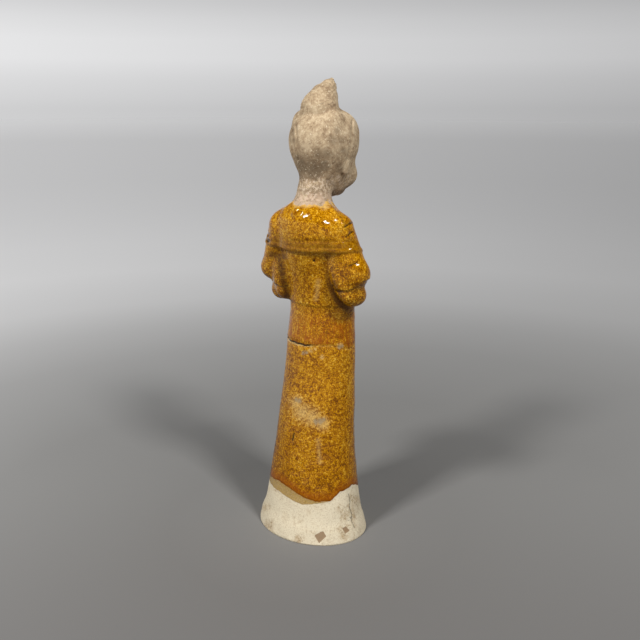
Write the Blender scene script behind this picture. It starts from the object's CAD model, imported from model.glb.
import math

import bmesh
import bpy
import numpy as np
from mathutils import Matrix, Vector, noise as perlin


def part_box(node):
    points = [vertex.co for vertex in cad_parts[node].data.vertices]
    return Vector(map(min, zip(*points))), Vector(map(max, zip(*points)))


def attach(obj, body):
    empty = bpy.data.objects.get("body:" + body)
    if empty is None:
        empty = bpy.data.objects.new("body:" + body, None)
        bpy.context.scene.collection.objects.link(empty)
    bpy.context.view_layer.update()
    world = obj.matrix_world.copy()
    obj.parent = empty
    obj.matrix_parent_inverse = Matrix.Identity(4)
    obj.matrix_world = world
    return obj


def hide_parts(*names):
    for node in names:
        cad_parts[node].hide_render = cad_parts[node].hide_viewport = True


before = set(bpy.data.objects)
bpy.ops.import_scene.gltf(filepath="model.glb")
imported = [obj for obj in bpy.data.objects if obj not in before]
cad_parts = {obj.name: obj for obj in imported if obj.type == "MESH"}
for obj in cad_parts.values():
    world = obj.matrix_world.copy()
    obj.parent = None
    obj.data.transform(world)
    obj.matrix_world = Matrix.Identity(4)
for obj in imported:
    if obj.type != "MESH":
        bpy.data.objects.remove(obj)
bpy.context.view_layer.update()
print("frame loaded")


# Small helpers for soft forms. Every form gives how far a point is outside it. In the dictionaries
# below, a ball is its centre and half sizes, and a limb is its two ends and their radii

def softMin(first, second, reach):
    near = np.clip(0.5 + 0.5 * (second - first) / reach, 0.0, 1.0)
    return second + (first - second) * near - reach * near * (1.0 - near)


def softMax(first, second, reach):
    return -softMin(-first, -second, reach)


def smoothStep(value, start, end):
    share = np.clip((value - start) / (end - start), 0.0, 1.0)
    return share * share * (3.0 - 2.0 * share)


def throughStations(level, stations, column):
    at = np.array([row[0] for row in stations], float)
    value = np.array([row[column] for row in stations], float)
    slope = np.gradient(value, at)
    low = np.clip(np.searchsorted(at, level) - 1, 0, len(at) - 2)
    span = at[low + 1] - at[low]
    t = np.clip((level - at[low]) / span, 0.0, 1.0)
    return (
        value[low] * (1 + 2 * t) * (1 - t) ** 2
        + slope[low] * span * t * (1 - t) ** 2
        + value[low + 1] * t * t * (3 - 2 * t)
        + slope[low + 1] * span * t * t * (t - 1)
    )


def axes(places):
    return places[..., 0], places[..., 1], places[..., 2]


def ball(x, y, z, centre, size):
    a, b, c = (x - centre[0]) / size[0], (y - centre[1]) / size[1], (z - centre[2]) / size[2]
    scaled = np.sqrt(a * a + b * b + c * c) + 1e-9
    steepness = np.sqrt((a / size[0]) ** 2 + (b / size[1]) ** 2 + (c / size[2]) ** 2) + 1e-9
    return scaled * (scaled - 1.0) / steepness


def limb(x, y, z, start, end, startRadius, endRadius):
    run = [e - s for s, e in zip(start, end)]
    lengthSquared = sum(r * r for r in run)
    px, py, pz = x - start[0], y - start[1], z - start[2]
    share = np.clip((px * run[0] + py * run[1] + pz * run[2]) / lengthSquared, 0.0, 1.0)
    away = np.sqrt((px - run[0] * share) ** 2 + (py - run[1] * share) ** 2 + (pz - run[2] * share) ** 2)
    return away - (startRadius + (endRadius - startRadius) * share)


# Skirt and torso, in parts of the figure's height: level, half width, half depth, lean to the front
body = {
    "stations": (
        (6, 30.2, 24.6, 0.0),
        (12, 28.1, 22.8, 0.1),
        (18, 27.0, 21.9, 0.3),
        (28, 25.4, 20.4, 0.8),
        (49, 22.9, 18.1, 2.2),
        (72, 21.3, 16.8, 4.8),
        (95, 19.8, 15.6, 7.2),
        (110, 18.9, 15.0, 8.3),
        (122, 18.0, 14.5, 9.0),
        (140, 17.4, 14.2, 6.4),
        (155, 17.4, 13.4, 1.6),
        (166, 16.6, 12.0, -1.8),
        (174, 15.4, 10.2, -2.2),
        (181, 8.6, 8.4, -0.6),
    ),
    "footHalfWidth": 31.8,
    "footHalfDepth": 26.0,
    "footEdgeRound": 0.9,
    "shoulderCut": 179.0,
    "rounding": 5.0,
}
jacket = {"hem": 126.4, "step": 0.55, "stepReach": 0.6}
skirtFolds = {"count": 7, "depth": 0.5, "levels": (20.0, 112.0), "frontFade": (0.1, 0.8)}
ribbon = {
    "aside": 3.4,
    "middle": 104.0,
    "halfWidth": 1.9,
    "halfLength": 26.0,
    "thickness": 0.6,
    "frontShare": 0.5,
    "edgeRound": 0.3,
    "topRound": 0.5,
}


def torsoForm(x, y, z):
    lowest = body["stations"][0]
    level = np.clip(z, lowest[0], body["stations"][-1][0])
    below = np.clip((lowest[0] - z) / lowest[0], 0.0, 1.0)
    halfWidth = throughStations(level, body["stations"], 1) + below * (body["footHalfWidth"] - lowest[1])
    halfDepth = throughStations(level, body["stations"], 2) + below * (body["footHalfDepth"] - lowest[2])
    lean = throughStations(level, body["stations"], 3)
    hem, reach = jacket["hem"], jacket["stepReach"]
    jacketStep = jacket["step"] * smoothStep(z, hem - reach, hem + reach)
    halfWidth, halfDepth = halfWidth + jacketStep, halfDepth + jacketStep
    a, b = x / halfWidth, (y + lean) / halfDepth
    scaled = np.sqrt(a * a + b * b) + 1e-9
    steepness = np.sqrt((a / halfWidth) ** 2 + (b / halfDepth) ** 2) + 1e-9
    oval = scaled * (scaled - 1.0) / steepness
    inFront = smoothStep(-b, *skirtFolds["frontFade"])
    fade = smoothStep(z, 0.0, skirtFolds["levels"][0]) * (1.0 - smoothStep(z, *skirtFolds["levels"]))
    oval = oval - skirtFolds["depth"] * inFront * fade * np.cos(skirtFolds["count"] * math.pi * a)
    edge = ribbon["edgeRound"]
    strip = np.abs(np.abs(x) - ribbon["aside"]) - ribbon["halfWidth"]
    strip = softMax(strip, y + halfDepth * ribbon["frontShare"], edge)
    strip = softMax(strip, np.abs(z - ribbon["middle"]) - ribbon["halfLength"], edge)
    oval = softMin(oval, softMax(oval - ribbon["thickness"], strip, ribbon["topRound"]), edge)
    return softMax(oval, z - body["shoulderCut"], body["rounding"])


# Arms and the cloth of the wide sleeves, for her left side and mirrored to her right
arm = {
    "shoulder": (15.7, 2.2, 165.8),
    "shoulderRadius": 8.6,
    "shift": 0.4,
    "elbow": (26.2, -0.8, 144.0),
    "elbowRadius": 6.2,
    "wrist": (5.5, -23.0, 149.2),
    "wristRadius": 5.3,
    "shoulderBlend": 2.4,
}
sleeve = {
    "fall": ((18.6, 0.8, 142.5), (6.8, 7.2, 15.0)),
    "fallBlend": 4.0,
    "fallShift": 2.0,
    "fallLean": 0.25,
    "fallLeanTop": 149.0,
    "web": ((23.4, -3.0, 138.0), (5.5, -21.6, 138.0), 5.2, 5.2),
    "roll": ((23.4, -4.6, 131.8), (6.5, -21.2, 126.6), 5.6, 4.6),
    "rollBlend": 2.2,
    "blend": 2.6,
    "tilt": 0.045,
}
cuff = {
    "hands": ((0.0, -24.6, 147.5), (9.0, 5.4, 6.0)),
    "end": ((4.0, -22.4, 132.0), (5.2, 4.8, 16.5)),
    "blend": 2.4,
}


def upperArmForm(x, y, z):
    armSide = np.abs(x + arm["shift"])
    return limb(armSide, y, z, arm["shoulder"], arm["elbow"], arm["shoulderRadius"], arm["elbowRadius"])


def sleeveForm(x, side, y, z):
    form = limb(side, y, z, arm["elbow"], arm["wrist"], arm["elbowRadius"], arm["wristRadius"])
    form = softMin(form, limb(side, y, z, *sleeve["web"]), sleeve["rollBlend"])
    form = softMin(form, limb(side, y, z, *sleeve["roll"]), sleeve["rollBlend"])
    lean = sleeve["fallLean"] * np.maximum(sleeve["fallLeanTop"] - z, 0.0)
    fallSide = np.where(x < 0, side - lean, side + sleeve["fallShift"])
    form = softMin(form, ball(fallSide, y, z, *sleeve["fall"]), sleeve["fallBlend"])
    cuffs = softMin(ball(side, y, z, *cuff["end"]), ball(x, y, z, *cuff["hands"]), cuff["blend"])
    return softMin(form, cuffs, cuff["blend"])


shawl = {
    "thickness": 1.3,
    "edge": ((-14, 155.2), (-2, 156.4), (4, 155.4), (9, 152.2), (16, 150.8)),
    "edgeRound": 1.0,
    "roll": 1.25,
    "rollBlend": 0.8,
    "sink": 1.3,
    "sinkAside": (14.0, 25.0),
    "fade": (171.0, 179.5),
    "neck": ((0.0, -14.5, 180.5), (8.4, 11.0, 19.0)),
    "neckRound": 1.0,
    "blend": 0.4,
}
collar = {"band": ((7.6, -2.4, 180.0), (0.4, -12.4, 161.5), 1.5, 1.5), "blend": 0.9}


def shawlForm(x, y, z, shoulders):
    edge = throughStations(-y, shawl["edge"], 1)
    sink = shawl["sink"] * smoothStep(np.abs(x), *shawl["sinkAside"])
    cover = shawl["thickness"] * (1.0 - smoothStep(z, *shawl["fade"])) - sink
    cloth = softMax(shoulders - cover, edge - z, shawl["edgeRound"])
    roll = shawl["roll"]
    hem = np.sqrt((shoulders - 0.5 * shawl["thickness"] + sink) ** 2 + (z - edge - roll) ** 2) - roll
    cloth = softMin(cloth, hem, shawl["rollBlend"])
    return softMax(cloth, -ball(x, y, z, *shawl["neck"]), shawl["neckRound"])


neck = {"column": ((0.0, 1.6, 170.0), (0.0, -4.0, 195.0), 9.4, 8.0), "blend": 5.0}
head = {
    "skull": ((0.0, -10.0, 204.5), (15.6, 17.2, 18.6)),
    "face": ((0.0, -14.2, 197.6), (13.2, 12.8, 17.0)),
    "cheek": ((6.3, -20.4, 192.0), (6.2, 6.2, 6.2)),
    "chin": ((0.0, -21.8, 185.0), (4.6, 4.6, 4.6)),
    "faceBlend": 3.0,
    "hairBlend": 0.5,
    "blend": 3.0,
}
features = {
    "browInner": (2.4, -26.2, 204.4),
    "browMiddle": (6.0, -24.9, 206.3),
    "browOuter": (9.8, -22.9, 204.6),
    "browRadius": 1.0,
    "browEndRadius": 0.6,
    "eyeHollow": ((5.6, -28.2, 201.6), (4.6, 3.6, 3.0)),
    "eye": ((5.5, -23.7, 200.8), (3.5, 2.2, 2.0)),
    "lidLine": ((5.6, -26.5, 200.2), (3.3, 1.3, 0.34)),
    "lidFold": ((5.6, -26.0, 202.3), (3.6, 1.2, 0.28)),
    "nose": ((0.0, -25.4, 203.6), (0.0, -28.4, 194.8), 1.3, 1.8),
    "nostril": ((1.9, -26.8, 194.0), (1.3, 1.3, 1.3)),
    "nostrilBlend": 0.5,
    "upperLip": ((1.2, -26.2, 190.5), (2.2, 1.7, 0.95)),
    "lowerLip": ((0.0, -26.1, 188.7), (2.4, 1.9, 1.1)),
    "lipLine": ((0.0, -28.0, 189.6), (3.3, 1.4, 0.26)),
    "chinHollow": ((0.0, -29.0, 187.0), (2.6, 2.2, 0.9)),
    "ear": ((13.6, -9.0, 198.0), (1.8, 3.0, 5.4)),
    "blend": 1.0,
    "softBlend": 0.4,
    "sharpBlend": 0.2,
}


def faceForm(x, side, y, z):
    form = ball(x, y, z, *head["skull"])
    form = softMin(form, ball(x, y, z, *head["face"]), head["faceBlend"])
    form = softMin(form, ball(side, y, z, *head["cheek"]), head["faceBlend"])
    form = softMin(form, ball(x, y, z, *head["chin"]), head["faceBlend"])
    blend, soft, sharp = features["blend"], features["softBlend"], features["sharpBlend"]
    radius = features["browRadius"]
    brow = limb(side, y, z, features["browInner"], features["browMiddle"], radius, radius)
    endRadius = features["browEndRadius"]
    outer = limb(side, y, z, features["browMiddle"], features["browOuter"], radius, endRadius)
    form = softMin(form, softMin(brow, outer, blend), blend)
    form = softMax(form, -ball(side, y, z, *features["eyeHollow"]), blend)
    form = softMin(form, ball(side, y, z, *features["eye"]), soft)
    form = softMax(form, -ball(side, y, z, *features["lidLine"]), sharp)
    form = softMax(form, -ball(side, y, z, *features["lidFold"]), sharp)
    nose = limb(x, y, z, *features["nose"])
    nose = softMin(nose, ball(side, y, z, *features["nostril"]), features["nostrilBlend"])
    form = softMin(form, nose, blend)
    form = softMax(form, -ball(x, y, z, *features["chinHollow"]), blend)
    form = softMin(form, ball(side, y, z, *features["upperLip"]), soft)
    form = softMin(form, ball(x, y, z, *features["lowerLip"]), soft)
    form = softMax(form, -ball(x, y, z, *features["lipLine"]), sharp)
    return softMin(form, ball(side, y, z, *features["ear"]), blend)


hair = {
    "mass": ((0.0, -10.1, 208.6), (17.2, 19.5, 18.2)),
    "puff": ((8.8, -12.5, 214.0), (7.8, 9.4, 8.8)),
    "crown": ((8.2, -4.6, 218.6), (5.8, 5.8, 6.0)),
    "blend": 2.5,
    "faceWindow": ((0.0, -31.5, 196.6), (13.0, 16.0, 15.8)),
    "faceWindowRound": 1.4,
}
knot = {
    "chain": (
        ((0.0, -8.2, 217.0), 11.6),
        ((0.0, -6.4, 224.6), 9.7),
        ((0.0, -9.6, 229.8), 7.3),
        ((0.0, -13.8, 235.0), 4.2),
        ((0.0, -16.9, 239.0), 1.0),
    ),
    "blend": 1.0,
}
shoe = {
    "toe": ((8.4, -24.6, 3.2), (5.2, 6.6, 4.2)),
    "tip": ((8.6, -28.9, 5.4), (3.6, 2.9, 3.8)),
    "tipBlend": 1.6,
    "blend": 0.8,
}


def hairForm(x, side, y, z):
    mass = ball(x, y, z, *hair["mass"])
    mass = softMin(mass, ball(side, y, z, *hair["puff"]), hair["blend"])
    mass = softMin(mass, ball(side, y, z, *hair["crown"]), hair["blend"])
    mass = softMax(mass, -ball(x, y, z, *hair["faceWindow"]), hair["faceWindowRound"])
    chain = None
    for (low, lowRadius), (high, highRadius) in zip(knot["chain"], knot["chain"][1:]):
        piece = limb(x, y, z, low, high, lowRadius, highRadius)
        chain = piece if chain is None else softMin(chain, piece, knot["blend"])
    return softMin(mass, chain, knot["blend"])


def ladyForm(x, y, z):
    side = np.abs(x)
    shoulders = softMin(torsoForm(x, y, z), upperArmForm(x, y, z), arm["shoulderBlend"])
    shoulders = softMin(shoulders, limb(x, y, z, *neck["column"]), neck["blend"])
    form = softMin(shoulders, sleeveForm(x, side, y, z + sleeve["tilt"] * x), sleeve["blend"])
    form = softMin(form, shawlForm(x, y, z, shoulders), shawl["blend"])
    form = softMin(form, limb(side, y, z, *collar["band"]), collar["blend"])
    headForm = softMin(faceForm(x, side, y, z), hairForm(x, side, y, z), head["hairBlend"])
    form = softMin(form, headForm, head["blend"])
    shoes = softMin(ball(side, y, z, *shoe["toe"]), ball(side, y, z, *shoe["tip"]), shoe["tipBlend"])
    return softMax(softMin(form, shoes, shoe["blend"]), -z, body["footEdgeRound"])


# The mesh: rings of points cast in at the spine, evened out and settled on the form
mesh = {
    "rings": 372,
    "columns": 264,
    "closeness": ((4, 1.0), (16, 0.45), (110, 0.45), (122, 1.1), (176, 1.1), (186, 1.7)),
    "firstRing": 0.6,
    "closerInFront": 0.25,
    "spine": (
        (0, 0.0), (49, 2.0), (122, 8.0), (155, 1.0), (172, -2.0), (182, 0.5), (192, 3.5),
        (205, 9.5), (223, 9.0), (231, 8.6), (236, 12.0), (239.4, 16.4),
    ),
    "fineLevels": 4000,
    "castRadius": 52.0,
    "leastRadius": 0.2,
    "castPasses": 44,
    "castCaution": 0.8,
    "relaxPasses": 12,
    "relaxShare": 0.7,
    "settlePasses": 3,
    "hollowPasses": 14,
    "mostSettle": 1.2,
    "probe": 0.02,
    "leastSlope": 0.4,
}


def gapAndNormal(places):
    x, y, z = axes(places)
    probe = mesh["probe"]
    gap = ladyForm(x, y, z)
    nudged = (ladyForm(x + probe, y, z), ladyForm(x, y + probe, z), ladyForm(x, y, z + probe))
    slope = np.stack([near - gap for near in nudged], axis=-1)
    steepness = np.linalg.norm(slope, axis=-1, keepdims=True) + 1e-9
    return gap[..., None] * probe / np.maximum(steepness, mesh["leastSlope"] * probe), slope / steepness


def settle(places):
    gap, normal = gapAndNormal(places)
    places[1:-1] -= (normal * np.clip(gap, -mesh["mostSettle"], mesh["mostSettle"]))[1:-1]


def neighbourMean(places):
    even = np.roll(places, 1, axis=1) + np.roll(places, -1, axis=1)
    even[1:-1] = (even[1:-1] + places[2:] + places[:-2]) / 4
    even[0], even[-1] = places[0], places[-1]
    return even


def castRings():
    fine = np.linspace(mesh["firstRing"], mesh["spine"][-1][0], mesh["fineLevels"])
    total = np.cumsum(np.interp(fine, *zip(*mesh["closeness"])))
    levels = np.interp(np.linspace(total[0], total[-1], mesh["rings"]), total, fine)
    angle = np.linspace(0.0, 2 * math.pi, mesh["columns"], endpoint=False)
    angle += mesh["closerInFront"] * np.sin(angle)
    level, turn = np.meshgrid(levels, angle, indexing="ij")
    middle = -throughStations(level, mesh["spine"], 1)
    radius = np.full(level.shape, mesh["castRadius"])
    for _ in range(mesh["castPasses"]):
        gap = ladyForm(radius * np.sin(turn), middle + radius * np.cos(turn), level)
        radius = np.maximum(radius - mesh["castCaution"] * gap, mesh["leastRadius"])
    cast = np.stack([radius * np.sin(turn), middle + radius * np.cos(turn), level], axis=2)
    for _ in range(mesh["relaxPasses"]):
        normal = gapAndNormal(cast)[1]
        move = neighbourMean(cast) - cast
        move -= normal * np.sum(move * normal, axis=-1, keepdims=True)
        cast += mesh["relaxShare"] * move
        settle(cast)
    for _ in range(mesh["settlePasses"]):
        settle(cast)
    return cast


seedStride = 7.31


def grain(size, seed, depth):
    places = (points / size + seed * seedStride).reshape(-1, 3)
    found = np.array([perlin.noise(Vector(place)) for place in places])
    return depth * found.reshape(points.shape[:-1])


# The photograph's camera. Marks of age are placed by its columns and rows
camera = {
    "azimuth": 215.0,
    "distance": 0.400,
    "height": 0.225,
    "pitch": 15.1,
    "focalPixels": 785.0,
    "axisColumn": 312.7,
    "frameSize": 640,
    "sensor": 36.0,
    "nearFade": (0.0, 0.12),
}


def cameraAxes():
    azimuth, pitch = math.radians(camera["azimuth"]), math.radians(camera["pitch"])
    aside, back = math.sin(azimuth), -math.cos(azimuth)
    place = Vector((aside, back, 0.0)) * camera["distance"]
    place.z = camera["height"]
    ahead = Vector((-aside * math.cos(pitch), -back * math.cos(pitch), -math.sin(pitch)))
    right = ahead.cross(Vector((0.0, 0.0, 1.0))).normalized()
    return place, ahead, right, right.cross(ahead)


def photoPlace(metres):
    place, ahead, right, up = (np.array(v) for v in cameraAxes())
    away = metres - place
    depth = away @ ahead
    column = camera["axisColumn"] + camera["focalPixels"] * (away @ right) / depth
    row = camera["frameSize"] / 2 - camera["focalPixels"] * (away @ up) / depth
    return column, row, -away / np.linalg.norm(away, axis=-1, keepdims=True)


print("form defined")

low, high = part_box("court_lady")
part = (high[2] - low[2]) / (knot["chain"][-1][0][2] + knot["chain"][-1][1])
points = castRings()
normals = gapAndNormal(points)[1]
print("rings cast")


# Relief finer than the solid carries, in parts. The fields also guide the finish. A grain is its
# size, seed and depth, and a fade is where it starts and where it is full
fields = {}
relief = {
    "unevenness": ((14.0, 0, 0.30), (5.0, 1, 0.12), (2.2, 2, 0.05)),
    "hairReach": (0.2, 0.9),
    "hairWave": (6.0, 11, 1.6),
    "hairPatches": (9.0, 12, 1.0),
    "hairPatchFade": (-0.1, 0.3),
    "leastHairPatch": 0.35,
    "strandCount": 46,
    "strandDepth": 0.13,
    "smoothBackTurn": -0.35,
    "smoothBackFade": (0.95, 1.35),
    "leastOnBack": 0.1,
    "wrapStart": (223.5, 225.0),
    "wrapSpacing": 1.5,
    "wrapLean": 0.45,
    "wrapDepth": 0.2,
    "shawlBehind": (-4.0, 4.0),
    "shawlLineRise": 6.0,
    "shawlLineWave": (12.0, 13, 0.5),
    "shawlLineWidth": 0.8,
    "shawlLineDepth": 0.3,
    "shawlSwellDrop": 2.2,
    "shawlSwellWidth": 1.4,
    "shawlSwellHeight": 0.15,
    "creasePath": (
        (15.5, 9.0, 135.0), (22.0, 6.6, 135.8), (25.6, 3.6, 136.2), (28.4, 0.2, 137.6),
        (31.2, -2.4, 141.0),
    ),
    "creaseWave": (4.0, 14, 0.35),
    "creaseFade": (0.2, 1.6),
    "creaseDepth": 1.5,
    "rollPull": 1.1,
    "rollPullFade": (0.5, 5.0),
    "rollPullBelow": (-0.3, 0.5),
}


def hairRelief():
    x, y, z = axes(points)
    onHair = 1.0 - smoothStep(np.abs(hairForm(x, np.abs(x), y, z)), *relief["hairReach"])
    onKnot = smoothStep(z, *relief["wrapStart"])
    around = np.arctan2(x, y - hair["mass"][0][1])
    wave = grain(*relief["hairWave"])
    strands = 0.5 - 0.5 * np.cos(relief["strandCount"] * around + wave)
    least = relief["leastHairPatch"]
    patches = grain(*relief["hairPatches"])
    patchy = least + (1.0 - least) * smoothStep(patches, *relief["hairPatchFade"])
    least = relief["leastOnBack"]
    fromBack = np.abs(around - relief["smoothBackTurn"])
    backFade = least + (1.0 - least) * smoothStep(fromBack, *relief["smoothBackFade"])
    turns = (z + relief["wrapLean"] * y + 0.5 * wave) / relief["wrapSpacing"]
    wraps = 0.5 - 0.5 * np.cos(turns * 2 * math.pi)
    carved = relief["strandDepth"] * strands * patchy * backFade * (1.0 - onKnot)
    carved = carved + relief["wrapDepth"] * wraps * onKnot * patchy
    return -carved * onHair


def clothRelief():
    x, y, z = axes(points)
    line = z - throughStations(-y, shawl["edge"], 1) - relief["shawlLineRise"]
    line = line - grain(*relief["shawlLineWave"])
    behind = smoothStep(y, *relief["shawlBehind"])
    carved = relief["shawlLineDepth"] * np.exp(-((line / relief["shawlLineWidth"]) ** 2))
    swell = (line + relief["shawlSwellDrop"]) / relief["shawlSwellWidth"]
    carved = behind * (carved - relief["shawlSwellHeight"] * np.exp(-(swell**2)))
    aside, level = np.abs(x), z + sleeve["tilt"] * x
    path = relief["creasePath"]
    crease = np.min([limb(aside, y, level, *ends, 0.0, 0.0) for ends in zip(path, path[1:])], axis=0)
    crease = crease + grain(*relief["creaseWave"])
    fields["creases"] = 1.0 - smoothStep(crease, *relief["creaseFade"])
    pathAside, _, pathLevel = zip(*path)
    below = smoothStep(np.interp(aside, pathAside, pathLevel) - level, *relief["rollPullBelow"])
    pull = relief["rollPull"] * below * (1.0 - smoothStep(crease, *relief["rollPullFade"]))
    return -carved - relief["creaseDepth"] * fields["creases"] - pull


def nearSide():
    column, row, toCamera = photoPlace(points * part)
    return smoothStep(np.sum(normals * toCamera, axis=-1), *camera["nearFade"]), column, row


height = sum(grain(*row) for row in relief["unevenness"]) + hairRelief() + clothRelief()
onNear, photoColumn, photoRow = nearSide()
pointLevel = points[..., 2]


# Marks of age, placed by column and row in pixels. Those of "round" are placed by turn and level,
# on the side away from the photograph's camera. A spot ends with its radius
marks = {
    "hiddenBelow": 0.1,
    "leastNear": 0.3,
    "pits": ((314.0, 261.0, 1.9), (268.0, 240.5, 2.8), (267.5, 236.0, 2.0), (344.5, 512.0, 1.2)),
    "cuts": (
        (343.5, 227.5, 351.5, 222.5), (345.5, 237.0, 352.5, 231.5),
        (348.0, 266.5, 357.5, 262.5), (294.0, 433.5, 292.5, 440.5),
    ),
    "cracks": (
        (348.5, 493.0, 350.0, 501.0), (350.0, 501.0, 349.4, 507.0),
        (349.4, 507.0, 352.0, 515.0), (352.0, 515.0, 351.2, 520.0),
        (351.2, 520.0, 354.5, 528.0), (352.0, 515.0, 348.0, 521.0),
    ),
    "bare": (
        (303.5, 353.0, 3.0), (306.5, 352.5, 2.8), (339.5, 347.0, 3.0), (342.0, 345.5, 2.2),
        (296.5, 399.5, 3.0), (299.5, 401.0, 3.4), (316.0, 421.5, 4.0), (320.0, 421.0, 4.4),
        (323.5, 420.0, 3.2),
    ),
    "pale": (
        (297.0, 403.0, 11.0), (303.0, 412.0, 15.0), (312.0, 417.0, 14.0), (322.0, 423.0, 11.0),
        (322.0, 357.0, 3.6), (311.0, 350.5, 3.2), (315.0, 349.0, 2.6), (340.0, 346.0, 5.0),
    ),
    "paleStreak": ((318.5, 281.0, 316.0, 299.0), (318.0, 440.0, 320.0, 462.0)),
    "valleys": (
        (280.0, 258.0, 283.0, 280.0), (283.0, 280.0, 288.0, 302.0),
        (333.0, 284.0, 337.0, 299.0), (337.0, 299.0, 346.0, 309.0),
        (272.0, 254.0, 284.0, 256.5),
    ),
    "ridges": (
        (329.0, 208.0, 336.0, 216.0), (336.0, 216.0, 341.0, 224.0),
        (341.0, 224.0, 348.0, 238.0), (295.0, 214.0, 304.0, 204.0),
    ),
    "grooves": (
        (295.5, 124.0, 298.0, 160.0), (292.0, 130.0, 293.5, 156.0),
        (352.5, 120.0, 350.5, 150.0), (349.5, 150.0, 344.0, 170.0),
        (296.0, 109.0, 303.0, 107.5),
    ),
    "widths": {
        "cuts": 1.5, "cracks": 0.75, "ridges": 5.0, "grooves": 1.8, "paleStreak": 5.0, "valleys": 6.0,
    },
    "stains": (
        (349.0, 512.0, 15.0), (356.0, 500.0, 9.0), (265.0, 508.0, 8.0), (268.0, 525.0, 7.0),
        (345.0, 530.0, 9.0), (300.0, 540.0, 6.0),
    ),
    "lightSpots": (
        (355.0, 124.0, 4.0), (354.5, 131.0, 4.0), (353.5, 138.0, 4.0), (352.0, 145.0, 3.6),
        (345.0, 168.0, 6.0), (348.0, 160.0, 5.0), (306.0, 146.0, 9.0), (311.0, 136.0, 7.0),
        (332.0, 77.0, 2.4),
    ),
    "napeShade": (
        (314.0, 172.0, 12.0), (302.0, 168.0, 10.0), (324.0, 166.0, 8.0), (298.0, 176.0, 7.0),
    ),
    "smudge": (
        (312.0, 168.0, 15.0), (298.0, 160.0, 10.0), (318.0, 153.0, 9.0), (333.0, 140.0, 9.0),
        (337.0, 131.0, 6.0), (341.0, 140.0, 7.0), (343.0, 150.0, 5.0), (340.0, 168.0, 8.0),
        (326.0, 153.0, 8.0), (293.0, 140.0, 6.0),
    ),
    "chips": (
        ((314.0, 535.5), (323.0, 530.5), (326.5, 536.5), (319.0, 543.5)),
        ((342.0, 528.0), (346.0, 526.0), (350.0, 531.0), (345.0, 534.0)),
    ),
    "round": {
        "bare": ((150.0, 92.0, 2.2), (215.0, 61.0, 2.8), (118.0, 48.0, 2.0), (178.0, 34.0, 1.8)),
        "pale": ((165.0, 58.0, 8.0), (210.0, 96.0, 7.0), (100.0, 84.0, 6.0)),
        "smudge": ((120.0, 192.0, 7.0), (60.0, 214.0, 6.0), (205.0, 183.0, 4.0)),
    },
}
# How far each mark raises the surface, and where it starts and is full
wear = {
    "ridges": (1.1, 0.0, 1.0),
    "grooves": (-0.5, 0.0, 0.8),
    "pits": (-0.9, 0.0, 0.7),
    "cuts": (-0.45, 0.0, 0.8),
    "cracks": (-0.15, 0.0, 0.7),
    "chips": (-0.22, 0.0, 0.4),
    "amberReach": (0.16, -0.2, 0.5),
    "bare": (-0.14, 0.2, 0.5),
}
glazeEdge = {
    "amber": (
        (271, 475), (280, 481), (291, 489), (302, 498), (315, 501), (330, 500), (340, 493),
        (352, 484),
    ),
    "tan": ((270, 482), (278, 491), (289, 499), (303, 503.5), (315, 503.5)),
    "roundAmber": (
        (75.0, 25.6), (110.0, 23.4), (150.0, 21.8), (185.0, 24.6), (215.0, 22.6), (245.0, 23.8),
    ),
    "roundTan": ((80.0, 23.2), (115.0, 23.0)),
    "ragged": ((3.0, 21, 0.5), (1.2, 22, 0.3)),
    "collar": 178.8,
    "collarWaves": ((5.0, 23, 2.2), (1.8, 24, 1.2)),
    "neckSlip": (185.5, 9.0),
}
oldBreak = {
    "line": (
        (284, 337), (290, 340.5), (297, 343.5), (304, 345.5), (322, 343.5), (334, 344.0),
        (346, 347), (352, 345),
    ),
    "round": ((95.0, 112.0), (150.0, 109.0), (190.0, 113.0), (230.0, 110.0)),
    "lipStart": (284.0, 289.0),
    "lipEnd": (308.0, 317.0),
    "faintLip": 0.22,
    "lipHeight": 0.55,
    "lipReach": 4.0,
    "gapDepth": 0.8,
    "gapMiddle": -0.2,
    "gapFade": (0.15, 0.7),
}


seen = onNear > marks["leastNear"]


def spotField(spots):
    field = np.full(photoColumn.shape, -1.0)
    for column, row, radius in spots:
        away = np.hypot(photoColumn - column, photoRow - row)
        field = np.maximum(field, np.where(seen, 1.0 - away / radius, -1.0))
    return field


def turnAround():
    return np.degrees(np.arctan2(points[..., 0], points[..., 1])) % 360


def roundField(spots):
    turn, across = turnAround(), np.hypot(points[..., 0], points[..., 1]) * math.pi / 180
    field = np.full(turn.shape, -1.0)
    for atTurn, atLevel, radius in spots:
        aside = (turn - atTurn + 180) % 360 - 180
        field = np.maximum(field, 1.0 - np.hypot(aside * across, pointLevel - atLevel) / radius)
    return field


def cutField(cuts, width):
    field = np.full(photoColumn.shape, -1.0)
    for startColumn, startRow, endColumn, endRow in cuts:
        run = (endColumn - startColumn, endRow - startRow)
        share = (photoColumn - startColumn) * run[0] + (photoRow - startRow) * run[1]
        share = np.clip(share / (run[0] ** 2 + run[1] ** 2), 0.0, 1.0)
        aside = photoColumn - startColumn - share * run[0]
        away = np.hypot(aside, photoRow - startRow - share * run[1])
        field = np.maximum(field, np.where(seen, 1.0 - away / width, -1.0))
    return field


def chipField(chips):
    field = np.full(photoColumn.shape, -1.0)
    for corners in chips:
        inside = np.where(seen, 9.0, -1.0)
        for (startColumn, startRow), (endColumn, endRow) in zip(corners, corners[1:] + corners[:1]):
            run = (endColumn - startColumn, endRow - startRow)
            away = (photoRow - startRow) * run[0] - (photoColumn - startColumn) * run[1]
            inside = np.minimum(inside, away / math.hypot(*run))
        field = np.maximum(field, np.clip(inside, -1.0, 1.0))
    return field


def turnAndLevel(column, row):
    away = np.hypot(photoColumn - column, photoRow - row)
    away = np.where(onNear < marks["hiddenBelow"], np.inf, away)
    x, y, z = points.reshape(-1, 3)[np.argmin(away)]
    return math.degrees(math.atan2(x, y)) % 360, z


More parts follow.
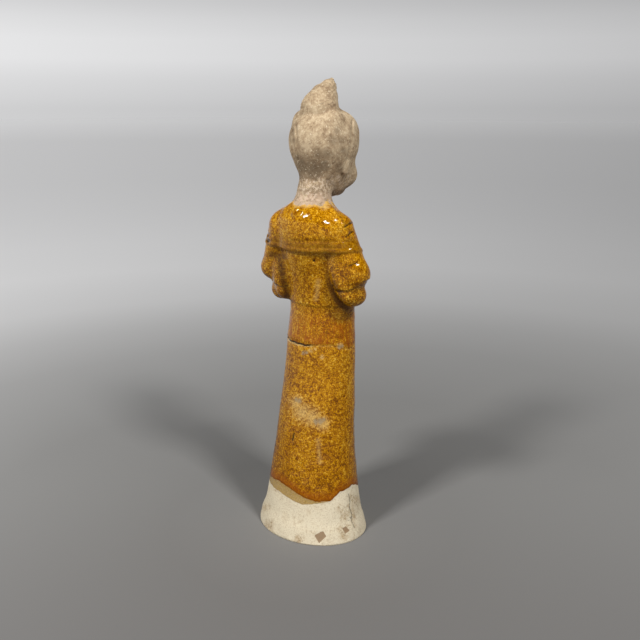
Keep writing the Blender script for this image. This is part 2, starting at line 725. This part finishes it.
def lineAround(pixels, others):
    stations = sorted([turnAndLevel(*pixel) for pixel in pixels] + list(others))
    stations = [(turn + whole, z) for whole in (-360, 0, 360) for turn, z in stations]
    return np.interp(turnAround(), *zip(*stations))


amberLow = lineAround(glazeEdge["amber"], glazeEdge["roundAmber"])
tanLow = lineAround(
    glazeEdge["tan"] + glazeEdge["amber"][5:], glazeEdge["roundTan"] + glazeEdge["roundAmber"][2:]
)
breakLevel = lineAround(oldBreak["line"], oldBreak["round"])
lipShare = oldBreak["faintLip"] * (1.0 - smoothStep(np.abs(onNear - 1.0), 0.0, 0.9))
lipShown = smoothStep(photoColumn, *oldBreak["lipStart"])
lipShown = lipShown * (1.0 - smoothStep(photoColumn, *oldBreak["lipEnd"]))
lipShare = (lipShare + (1.0 - lipShare) * lipShown) * seen
ragged = sum(grain(*row) for row in glazeEdge["ragged"])
fromCollar = glazeEdge["collar"] - pointLevel + sum(grain(*row) for row in glazeEdge["collarWaves"])
fields |= {
    "amberReach": np.minimum(pointLevel - amberLow + ragged, fromCollar),
    "tanReach": np.minimum(pointLevel - np.minimum(tanLow, amberLow) + 0.6 * ragged, fromCollar),
    "aboveBreak": pointLevel - breakLevel + 0.6 * ragged,
    "breakLip": lipShare,
    "chips": chipField(marks["chips"]),
}
fields |= {name: cutField(marks[name], width) for name, width in marks["widths"].items()}
fields |= {name: spotField(marks[name]) for name in ("pits", "stains", "napeShade", "lightSpots")}
for name, spots in marks["round"].items():
    fields[name] = np.maximum(spotField(marks[name]), roundField(spots))


def wearRelief():
    above = fields["aboveBreak"]
    lip = np.exp(-np.abs(above) / oldBreak["lipReach"]) * smoothStep(above, -0.1, 0.4)
    gap = 1.0 - smoothStep(np.abs(above - oldBreak["gapMiddle"]), *oldBreak["gapFade"])
    raised = fields["breakLip"] * (oldBreak["lipHeight"] * lip - oldBreak["gapDepth"] * gap)
    for name, (rise, start, end) in wear.items():
        raised = raised + rise * smoothStep(fields[name], start, end)
    return raised


def bandShare():
    rise = pointLevel - throughStations(-points[..., 1], shawl["edge"], 1)
    share = smoothStep(rise, -0.8, 0.6) * (1.0 - smoothStep(rise - relief["shawlLineRise"], -1.0, 0.8))
    return share * smoothStep(points[..., 1], -6.0, 2.0)


def sleeveShare():
    x, y, z = axes(points)
    near = 1.0 - smoothStep(sleeveForm(x, np.abs(x), y, z + sleeve["tilt"] * x), 0.2, 1.6)
    return near * (1.0 - smoothStep(z, 150.0, 156.0))


height = height + wearRelief()
points[1:-1] += (normals * height[..., None])[1:-1]
hollow = points
for _ in range(mesh["hollowPasses"]):
    hollow = neighbourMean(hollow)
fields["cavity"] = np.sum((hollow - points) * normals, axis=-1)
fields["upward"] = smoothStep(pointLevel, 90.0, 110.0)
fields["sleeves"] = sleeveShare()
fields["band"] = bandShare()
slipLevel, slipReach = glazeEdge["neckSlip"]
fields["neckSlip"] = 1.0 - np.abs(pointLevel - slipLevel) / slipReach
fields["neckSlip"] -= 0.08 * np.maximum(-points[..., 1] - 12.0, 0.0)

facePaint = {"browWidth": 1.2, "browEndWidth": 0.9}


def paintOnFace(feature):
    x, y, z = axes(points)
    return 1.0 - smoothStep(ball(np.abs(x), y, z, *feature), -0.1, 0.8)


def browPaint():
    x, y, z = axes(points)
    width, endWidth = facePaint["browWidth"], facePaint["browEndWidth"]
    inner = limb(np.abs(x), y, z, features["browInner"], features["browMiddle"], width, width)
    outer = limb(np.abs(x), y, z, features["browMiddle"], features["browOuter"], width, endWidth)
    return 1.0 - smoothStep(np.minimum(inner, outer), -0.2, 0.4)


fields["brow"] = browPaint()
fields["lips"] = np.maximum(paintOnFace(features["upperLip"]), paintOnFace(features["lowerLip"]))
print("relief and wear added")


def ladyMesh(name):
    shape = bmesh.new()
    under = points[0].copy()
    under[:, 2] = 0.0
    rings = [[shape.verts.new(p * part) for p in ring] for ring in (under, *points)]
    columns = mesh["columns"]
    for lowRing, highRing in zip(rings, rings[1:]):
        for i in range(columns):
            j = (i + 1) % columns
            shape.faces.new((lowRing[i], highRing[i], highRing[j], lowRing[j]))
    shape.faces.new(rings[0])
    tipMiddle = points[-1].mean(axis=0)
    tip = shape.verts.new((tipMiddle[0] * part, tipMiddle[1] * part, high[2]))
    for i in range(columns):
        shape.faces.new((rings[-1][i], tip, rings[-1][(i + 1) % columns]))
    bmesh.ops.recalc_face_normals(shape, faces=shape.faces)
    made = bpy.data.meshes.new(name)
    shape.to_mesh(made)
    shape.free()
    made.shade_smooth()
    for field, values in fields.items():
        values = np.concatenate([values[0], values.ravel(), [values[-1].mean()]])
        made.attributes.new(field, "FLOAT", "POINT").data.foreach_set("value", values.astype(np.float32))
    return made


def addObject(name, data):
    made = bpy.data.objects.new(name, data)
    bpy.context.scene.collection.objects.link(made)
    return made


def aim(thing, direction):
    thing.rotation_mode = "QUATERNION"
    thing.rotation_quaternion = direction.to_track_quat("-Z", "Y")


# Shader nodes from one method, and their maths as plain expressions
class Wire:
    def __init__(self, paint, socket):
        self.paint = paint
        self.socket = socket

    def __add__(self, other):
        return self.paint.maths("ADD", self, other)

    def __mul__(self, other):
        return self.paint.maths("MULTIPLY", self, other)

    def __sub__(self, other):
        return self.paint.maths("SUBTRACT", self, other)

    def __rsub__(self, other):
        return self.paint.maths("SUBTRACT", other, self)

    def __truediv__(self, other):
        return self.paint.maths("DIVIDE", self, other)

    def __rtruediv__(self, other):
        return self.paint.maths("DIVIDE", other, self)

    __radd__, __rmul__ = __add__, __mul__


class Paint:
    def __init__(self, owner):
        owner.use_nodes = True
        owner.node_tree.nodes.clear()
        self.tree = owner.node_tree

    def node(self, kind, settings, values, output=0):
        made = self.tree.nodes.new(kind)
        for name, value in settings.items():
            if name == "stops":
                stops = made.color_ramp.elements
                while len(stops) < len(value):
                    stops.new(0.5)
                for stop, (place, colour) in zip(stops, value):
                    stop.position, stop.color = place, colour
            else:
                setattr(made, name, value)
        for name, value in values.items() if isinstance(values, dict) else enumerate(values):
            if isinstance(value, Wire):
                self.tree.links.new(value.socket, made.inputs[name])
            else:
                made.inputs[name].default_value = value
        return Wire(self, made.outputs[output]) if made.outputs else None

    def layers(self, base, shade, *rows):
        for share, mask, tint in rows:
            base = self.mix(share * mask, base, shade[tint])
        return base

    def maths(self, operation, *values):
        return self.node("ShaderNodeMath", {"operation": operation}, values)

    def field(self, name):
        return self.node("ShaderNodeAttribute", {"attribute_name": name}, {}, "Fac")

    def step(self, value, start, end):
        sockets = {"Value": value, "From Min": start, "From Max": end}
        return self.node("ShaderNodeMapRange", {"interpolation_type": "SMOOTHSTEP"}, sockets)

    def mix(self, share, first, second, blend="MIX"):
        settings = {"data_type": "RGBA", "blend_type": blend}
        return self.node("ShaderNodeMix", settings, {0: share, 6: first, 7: second}, 2)

    def stretch(self, place, x, y, z):
        return self.node("ShaderNodeVectorMath", {"operation": "MULTIPLY"}, (place, (x, y, z)))

    def scale(self, value, share):
        settings = {"operation": "SCALE"}
        return self.node("ShaderNodeVectorMath", settings, {"Vector": value, "Scale": share})

    def along(self, place, direction):
        settings = {"operation": "DOT_PRODUCT"}
        return self.node("ShaderNodeVectorMath", settings, (place, direction), "Value")

    def wander(self, place, texture, reach):
        swirl = self.scale(self.noise(place, texture, "Color"), reach)
        return self.node("ShaderNodeVectorMath", {"operation": "ADD"}, (place, swirl))

    def noise(self, place, texture, output=0):
        names = ("Scale", "Detail", "Roughness", "Distortion")
        sockets = {"Vector": place, **dict(zip(names, textures[texture]))}
        return self.node("ShaderNodeTexNoise", {}, sockets, output)

    def cells(self, place, scale, feature="F1"):
        sockets = {"Vector": place, "Scale": scale}
        return self.node("ShaderNodeTexVoronoi", {"feature": feature}, sockets, "Distance")

    def ramp(self, value, *stops):
        settings = {"stops": [(place, colour(*shade)) for place, shade in stops]}
        return self.node("ShaderNodeValToRGB", settings, {"Fac": value})


def colour(*channels):
    linear = [c / 12.92 if c < 0.04045 else ((c + 0.055) / 1.055) ** 2.4 for c in channels]
    return (*linear, 1.0)


# Finish. Colours are as the eye sees them, from 0 to 1
finish = {
    "glazeDeep": (0.40, 0.22, 0.0),
    "glazeBrown": (0.53, 0.32, 0.0),
    "glazeAmber": (0.67, 0.44, 0.0),
    "glazeYellow": (0.81, 0.58, 0.02),
    "glazePale": (0.88, 0.71, 0.28),
    "glazeOrange": (0.58, 0.29, 0.0),
    "glazeLine": (0.46, 0.24, 0.0),
    "sleeveBrown": (0.38, 0.22, 0.02),
    "bandGreen": (0.42, 0.28, 0.03),
    "crease": (0.36, 0.18, 0.01),
    "creaseDark": (0.26, 0.14, 0.01),
    "speck": (0.12, 0.07, 0.01),
    "thinGlaze": (0.84, 0.70, 0.43),
    "bareGrey": (0.58, 0.51, 0.40),
    "crazed": (0.70, 0.58, 0.33),
    "crazedLine": (0.52, 0.40, 0.20),
    "clay": (0.67, 0.58, 0.46),
    "clayDark": (0.52, 0.43, 0.33),
    "clayPale": (0.76, 0.68, 0.56),
    "slip": (0.90, 0.85, 0.74),
    "slipStain": (0.70, 0.59, 0.43),
    "slipDark": (0.52, 0.40, 0.27),
    "chipClay": (0.58, 0.47, 0.35),
    "neckSlip": (0.80, 0.72, 0.63),
    "neckPink": (0.70, 0.56, 0.46),
    "lips": (0.60, 0.33, 0.25),
    "soot": (0.34, 0.28, 0.21),
    "glazeRoughness": 0.07,
    "clayRoughness": 0.85,
    "shine": 0.24,
}

# Noises: scale per millimetre, detail, roughness and distortion
textures = {
    "mottle": (0.62, 6.0, 0.68, 0.6),
    "fine": (1.7, 4.0, 0.65, 0.3),
    "streak": (0.9, 4.0, 0.65),
    "cloud": (0.075, 3.0, 0.5),
    "drift": (0.2, 3.0, 0.6, 0.4),
    "blotches": (1.1, 4.0, 0.75),
    "speckled": (0.16, 2.0, 0.55),
    "waves": (0.30, 1.8, 0.45),
    "brushed": (0.55, 5.0, 0.66, 0.3),
    "dust": (0.55, 6.0, 0.75),
    "patch": (0.13, 3.0, 0.6),
    "pores": (1.4, 3.0, 0.6),
    "flecks": (1.2, 3.0, 0.6, 0.5),
    "grime": (0.32, 4.0, 0.7),
    "flakes": (0.75, 4.0, 0.7),
    "flush": (0.4, 3.0, 0.6),
    "stain": (0.12, 6.0, 0.72, 0.5),
    "mealy": (0.8, 5.0, 0.8),
    "gritty": (1.5, 3.0, 0.7),
    "dirt": (0.45, 6.0, 0.8),
    "slipSpecks": (1.1, 3.0, 0.7),
    "bend": (0.8, 2.0, 0.5),
    "swirl": (0.06, 1.0, 0.5),
}


def glazePaint(paint, shade, place, cavity):
    step, noise, field = paint.step, paint.noise, paint.field
    mottle = noise(place, "mottle")
    fine = noise(place, "fine")
    streak = noise(paint.stretch(place, 1.0, 1.0, 0.12), "streak")
    cloud = noise(place, "cloud")
    low = 1.0 - step(paint.along(place, (0.0, 0.0, 1.0)), 25.0, 110.0)
    drift = noise(place, "drift")
    tone = mottle * 0.95 + fine + cloud * 0.35 + drift * 0.25 - 0.765 - 0.04 * low
    glaze = paint.ramp(
        tone,
        (0.30, finish["glazeDeep"]),
        (0.40, finish["glazeBrown"]),
        (0.49, finish["glazeAmber"]),
        (0.60, finish["glazeYellow"]),
        (0.78, finish["glazePale"]),
    )
    bent = paint.wander(place, "bend", 0.9)
    net = 1.0 - step(paint.cells(bent, 0.72, "DISTANCE_TO_EDGE"), 0.0, 0.14)
    above = field("aboveBreak")
    deep = step(above, -0.4, 0.6) * (1.0 - step(above, 8.0, 22.0))
    blotches = step(noise(place, "blotches"), 0.49, 0.57)
    pale = step(field("pale") + 1.6 * (mottle - 0.5), 0.0, 1.0)
    specks = 1.0 - step(paint.cells(bent, 0.95), 0.10, 0.26)
    specks = specks * step(noise(place, "speckled"), 0.45, 0.64)
    glaze = paint.layers(
        glaze,
        shade,
        (0.6, net * step(cloud + 0.5 * drift, 0.58, 0.86), "glazeLine"),
        (1.0, deep * (0.1 + 0.7 * step(streak, 0.42, 0.62)), "glazeOrange"),
        (0.4, step(streak, 0.56, 0.72), "glazeLine"),
        (0.6, field("band") * (0.4 + 0.6 * step(fine, 0.4, 0.6)), "bandGreen"),
        (1.0, (0.12 + 0.7 * field("sleeves")) * blotches, "sleeveBrown"),
        (0.5, step(cavity, 0.10, 0.9), "crease"),
        (0.7, step(field("valleys") + 0.8 * (mottle - 0.5), 0.0, 0.9), "creaseDark"),
        (1.0, pale * (0.35 + 0.45 * step(fine, 0.40, 0.56)), "thinGlaze"),
        (0.32, step(field("paleStreak") + 2.0 * (mottle - 0.5), 0.1, 1.1), "thinGlaze"),
        (0.85, specks, "speck"),
    )
    return glaze, mottle, fine, cloud, pale, specks


def clayPaint(paint, shade, place, cavity):
    step, mix, noise, field = paint.step, paint.mix, paint.noise, paint.field
    swept = paint.wander(place, "swirl", 30.0)
    sweep = {"Vector": swept, "Rotation": (0.2, 1.2, 0.6), "Scale": (1.0, 1.0, 0.2)}
    brushed = noise(paint.node("ShaderNodeMapping", {}, sweep), "brushed")
    dust = noise(place, "dust")
    patch = noise(place, "patch")
    rise = paint.along(place, (0.0, 0.0, 1.0))
    clay = paint.ramp(
        brushed * 0.25 + dust * 0.5 + patch * 0.25 + 0.02 * step(rise, 196.0, 214.0) - 0.02,
        (0.40, finish["clayDark"]),
        (0.49, finish["clay"]),
        (0.58, finish["clayPale"]),
    )
    flush = (1.0 - step(rise, 181.0, 187.0)) * step(noise(place, "flush"), 0.42, 0.55)
    slipped = step(field("neckSlip") + 1.6 * (patch - 0.5), 0.0, 0.5)
    clay = paint.layers(
        clay,
        shade,
        (0.7, step(cavity, 0.04, 0.35), "clayDark"),
        (0.45, step(field("smudge") + 1.2 * (dust - 0.5), 0.0, 0.9), "soot"),
        (0.55, step(field("lightSpots") + 1.6 * (dust - 0.5), 0.0, 0.8), "clayPale"),
        (0.6, step(field("napeShade") + 1.2 * (dust - 0.5), 0.0, 0.6), "soot"),
        (0.55, step(noise(place, "pores"), 0.58, 0.68) * (1.0 - 0.6 * step(rise, 196.0, 208.0)), "soot"),
        (0.6, step(noise(place, "flecks"), 0.60, 0.68), "slip"),
        (0.6, field("brow"), "soot"),
        (0.6, field("lips"), "lips"),
        (0.45, step(noise(place, "grime"), 0.46, 0.60) * step(field("neckSlip"), 0.0, 0.4), "soot"),
        (0.75, step(noise(place, "flakes"), 0.50, 0.58) * slipped, "neckSlip"),
    )
    return mix(0.6 * flush, clay, mix(0.5, shade["neckPink"], shade["neckSlip"])), brushed, dust


def slipPaint(paint, shade, place):
    step, noise, field = paint.step, paint.noise, paint.field
    stain = noise(place, "stain")
    dirt = noise(place, "dirt")
    specks = step(noise(place, "slipSpecks") + 0.10 * step(field("stains"), 0.0, 0.6), 0.60, 0.68)
    return paint.layers(
        shade["slip"],
        shade,
        (0.7, step(stain, 0.50, 0.72), "slipStain"),
        (0.55, step(noise(place, "mealy"), 0.54, 0.68), "slipStain"),
        (0.4, step(noise(place, "gritty"), 0.48, 0.66), "slipStain"),
        (0.6, step(field("stains") + 5.0 * (dirt - 0.5), 0.3, 1.1), "slipStain"),
        (0.6, specks * step(stain, 0.40, 0.6), "slipDark"),
        (0.9, step(field("chips") + 1.5 * (dirt - 0.5), 0.0, 0.3), "chipClay"),
    )


def ladyPaint():
    made = bpy.data.materials.new("amberGlazeAndClay")
    paint = Paint(made)
    step, mix, noise, field = paint.step, paint.mix, paint.noise, paint.field
    shade = {name: colour(*value) for name, value in finish.items() if isinstance(value, tuple)}
    place = paint.node("ShaderNodeTexCoord", {}, {}, "Object")
    place = paint.stretch(place, 1000.0, 1000.0, 1000.0)  # in millimetres
    cavity = field("cavity")
    glaze, mottle, fine, cloud, pale, specks = glazePaint(paint, shade, place, cavity)
    clay, brushed, dust = clayPaint(paint, shade, place, cavity)
    slip = slipPaint(paint, shade, place)

    # Where each finish lies
    above = field("aboveBreak")
    lower = 1.0 - step(field("upward"), 0.0, 1.0)
    onAmber = step(field("amberReach"), -0.12, 0.12)
    onTan = step(field("tanReach"), -0.12, 0.12)
    base = mix(lower, clay, slip)
    net = 1.0 - step(paint.cells(place, 0.9, "DISTANCE_TO_EDGE"), 0.0, 0.09)
    crazed = mix(step(fine, 0.45, 0.6), shade["crazed"], shade["slipStain"])
    base = mix(onTan * lower, base, mix(0.7 * net, crazed, shade["crazedLine"]))
    base = mix(onAmber, base, glaze)
    inward = field("amberReach")
    fringe = (1.0 - step(inward + 2.0 * (mottle - 0.5), 0.0, 2.4)) * (1.0 - lower)
    bare = step(field("bare") + 2.2 * (fine - 0.5), 0.05, 0.65)
    dark = paint.maths("MAXIMUM", step(field("pits"), 0.1, 0.6), step(field("cuts"), 0.1, 0.8))
    dark = paint.maths("MAXIMUM", dark, 0.7 * step(field("cracks"), 0.0, 0.7))
    gap = 1.0 - step(paint.maths("ABSOLUTE", above + 0.25), 0.3, 0.75)
    rim = step(above + 1.6 * (mottle - 0.5), -1.7, -0.9) * (1.0 - step(above, -0.8, -0.4))
    base = paint.layers(
        base,
        shade,
        (0.65, onAmber * fringe, "thinGlaze"),
        (0.7, onAmber * lower * (1.0 - step(inward, 0.8, 7.0)), "glazeOrange"),
        (0.5, onAmber * lower * (1.0 - step(inward, 0.3, 1.4)), "glazeDeep"),
        (0.8, bare, "bareGrey"),
        (0.85, dark, "speck"),
        (0.75, field("creases"), "creaseDark"),
        (0.9, gap * field("breakLip"), "speck"),
        (0.7, rim * field("breakLip") * step(mottle, 0.40, 0.52), "thinGlaze"),
    )

    # Gloss and fine relief
    glassy = paint.maths("MAXIMUM", onAmber, onTan * lower) * (1.0 - 0.85 * bare) * (1.0 - 0.4 * pale)
    roughness = finish["clayRoughness"] + glassy * (finish["glazeRoughness"] - finish["clayRoughness"])
    roughness = roughness + glassy * step(cloud, 0.5, 0.7) * 0.08
    skin = glassy * (0.03 * mottle + 0.32 * noise(place, "waves") - 0.05 * specks)
    skin = skin + (1.0 - glassy) * (0.10 * brushed + 0.12 * dust)
    bump = paint.node("ShaderNodeBump", {}, {"Strength": 1.0, "Distance": 0.001, "Height": skin})
    sockets = {"Base Color": base, "Roughness": roughness, "Normal": bump}
    sockets["Specular IOR Level"] = finish["shine"]
    surface = paint.node("ShaderNodeBsdfPrincipled", {}, sockets)
    paint.node("ShaderNodeOutputMaterial", {}, {"Surface": surface})
    return made


lady = addObject("courtLady", ladyMesh("courtLady"))
lady.data.materials.append(ladyPaint())
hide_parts("court_lady")
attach(lady, "root")
print("lady built", len(lady.data.polygons), "faces")


# Floor, lights and camera. The floor grows paler with distance, as a lit studio sweep does
studio = {
    "floorHalf": 14.0,
    "floorColour": (0.505, 0.50, 0.49),
    "floorNearCamera": (0.40, 0.39, 0.38),
    "awayFromCamera": (0.574, -0.819, 0.0),
    "glow": (
        (0.08, 0.0), (0.20, 0.045), (0.34, 0.135), (0.44, 0.22), (0.55, 0.325), (0.75, 0.405),
        (1.0, 0.415), (1.45, 0.405), (2.2, 0.40), (5.6, 0.415), (14.0, 0.48),
    ),
    "air": (
        (0.0, 0.53), (0.012, 0.56), (0.033, 0.60), (0.056, 0.67), (0.078, 0.67), (0.101, 0.62),
        (0.117, 0.565), (0.30, 0.10),
    ),
    "brighterSide": (0.819, 0.574, 0.0),
    "sideShare": 0.5,
    "sideReach": 0.05,
    "nearFade": (-0.17, 0.06),
    "floorRoughness": 0.8,
    "blueTint": 1.01,
    "lights": (
        {"azimuth": 252.0, "elevation": 46.0, "distance": 0.95, "size": 0.15, "power": 6.4},
        {"azimuth": 168.0, "elevation": 46.0, "distance": 0.95, "size": 0.15, "power": 6.4},
    ),
    "lightAim": (0.0, 0.0, 0.12),
}


def greyRamp(paint, value, stops):
    settings = {"stops": [(at, (grey, grey, grey * studio["blueTint"], 1.0)) for at, grey in stops]}
    return paint.node("ShaderNodeValToRGB", settings, {"Fac": value})


def studioFloor():
    half = studio["floorHalf"]
    flat = bpy.data.meshes.new("floor")
    corners = [(-half, -half, 0), (half, -half, 0), (half, half, 0), (-half, half, 0)]
    flat.from_pydata(corners, [], [(0, 1, 2, 3)])
    floor = addObject("floor", flat)
    made = bpy.data.materials.new("paleFloor")
    paint = Paint(made)
    place = paint.node("ShaderNodeTexCoord", {}, {}, "Object")
    radius = paint.node("ShaderNodeVectorMath", {"operation": "LENGTH"}, (place,), "Value")
    stops = [(at / (at + 1.0), grey) for at, grey in studio["glow"]]
    glow = greyRamp(paint, radius / (radius + 1.0), stops)
    aside = paint.along(place, studio["brighterSide"]) / (radius + studio["sideReach"])
    lopsided = 1.0 + studio["sideShare"] * aside
    glow = paint.scale(glow, lopsided)
    away = paint.step(paint.along(place, studio["awayFromCamera"]), *studio["nearFade"])
    base = paint.mix(away, colour(*studio["floorNearCamera"]), colour(*studio["floorColour"]))
    sockets = {"Base Color": base, "Roughness": studio["floorRoughness"]}
    sockets.update({"Emission Color": glow, "Emission Strength": 1.0})
    surface = paint.node("ShaderNodeBsdfPrincipled", {}, sockets)
    paint.node("ShaderNodeOutputMaterial", {}, {"Surface": surface})
    flat.materials.append(made)


def studioAir():
    world = bpy.data.worlds.new("softAir")
    paint = Paint(world)
    place = paint.node("ShaderNodeTexCoord", {}, {}, "Generated")
    glow = greyRamp(paint, paint.along(place, (0.0, 0.0, 1.0)), studio["air"])
    lopsided = 1.0 + studio["sideShare"] * paint.along(place, studio["brighterSide"])
    glow = paint.scale(glow, lopsided)
    air = paint.node("ShaderNodeBackground", {}, {"Color": glow, "Strength": 1.0})
    paint.node("ShaderNodeOutputWorld", {}, {"Surface": air})
    bpy.context.scene.world = world


def softLight(azimuth, elevation, distance, size, power):
    turn, rise = math.radians(azimuth), math.radians(elevation)
    lamp = addObject("softLight", bpy.data.lights.new("softLight", "AREA"))
    lamp.data.size = size
    lamp.data.energy = power
    aside, back = math.sin(turn), -math.cos(turn)
    away = Vector((aside * math.cos(rise), back * math.cos(rise), math.sin(rise)))
    lamp.location = away * distance + Vector(studio["lightAim"])
    aim(lamp, -away)


def photoCamera():
    place, ahead = cameraAxes()[:2]
    eye = addObject("photoCamera", bpy.data.cameras.new("photoCamera"))
    eye.location = place
    aim(eye, ahead)
    eye.data.sensor_width = camera["sensor"]
    eye.data.lens = camera["focalPixels"] / camera["frameSize"] * camera["sensor"]
    eye.data.shift_x = 0.5 - camera["axisColumn"] / camera["frameSize"]
    bpy.context.scene.camera = eye


studioFloor()
for light in studio["lights"]:
    softLight(**light)
studioAir()
bpy.context.scene.view_settings.view_transform = "Standard"
photoCamera()
print("studio set")
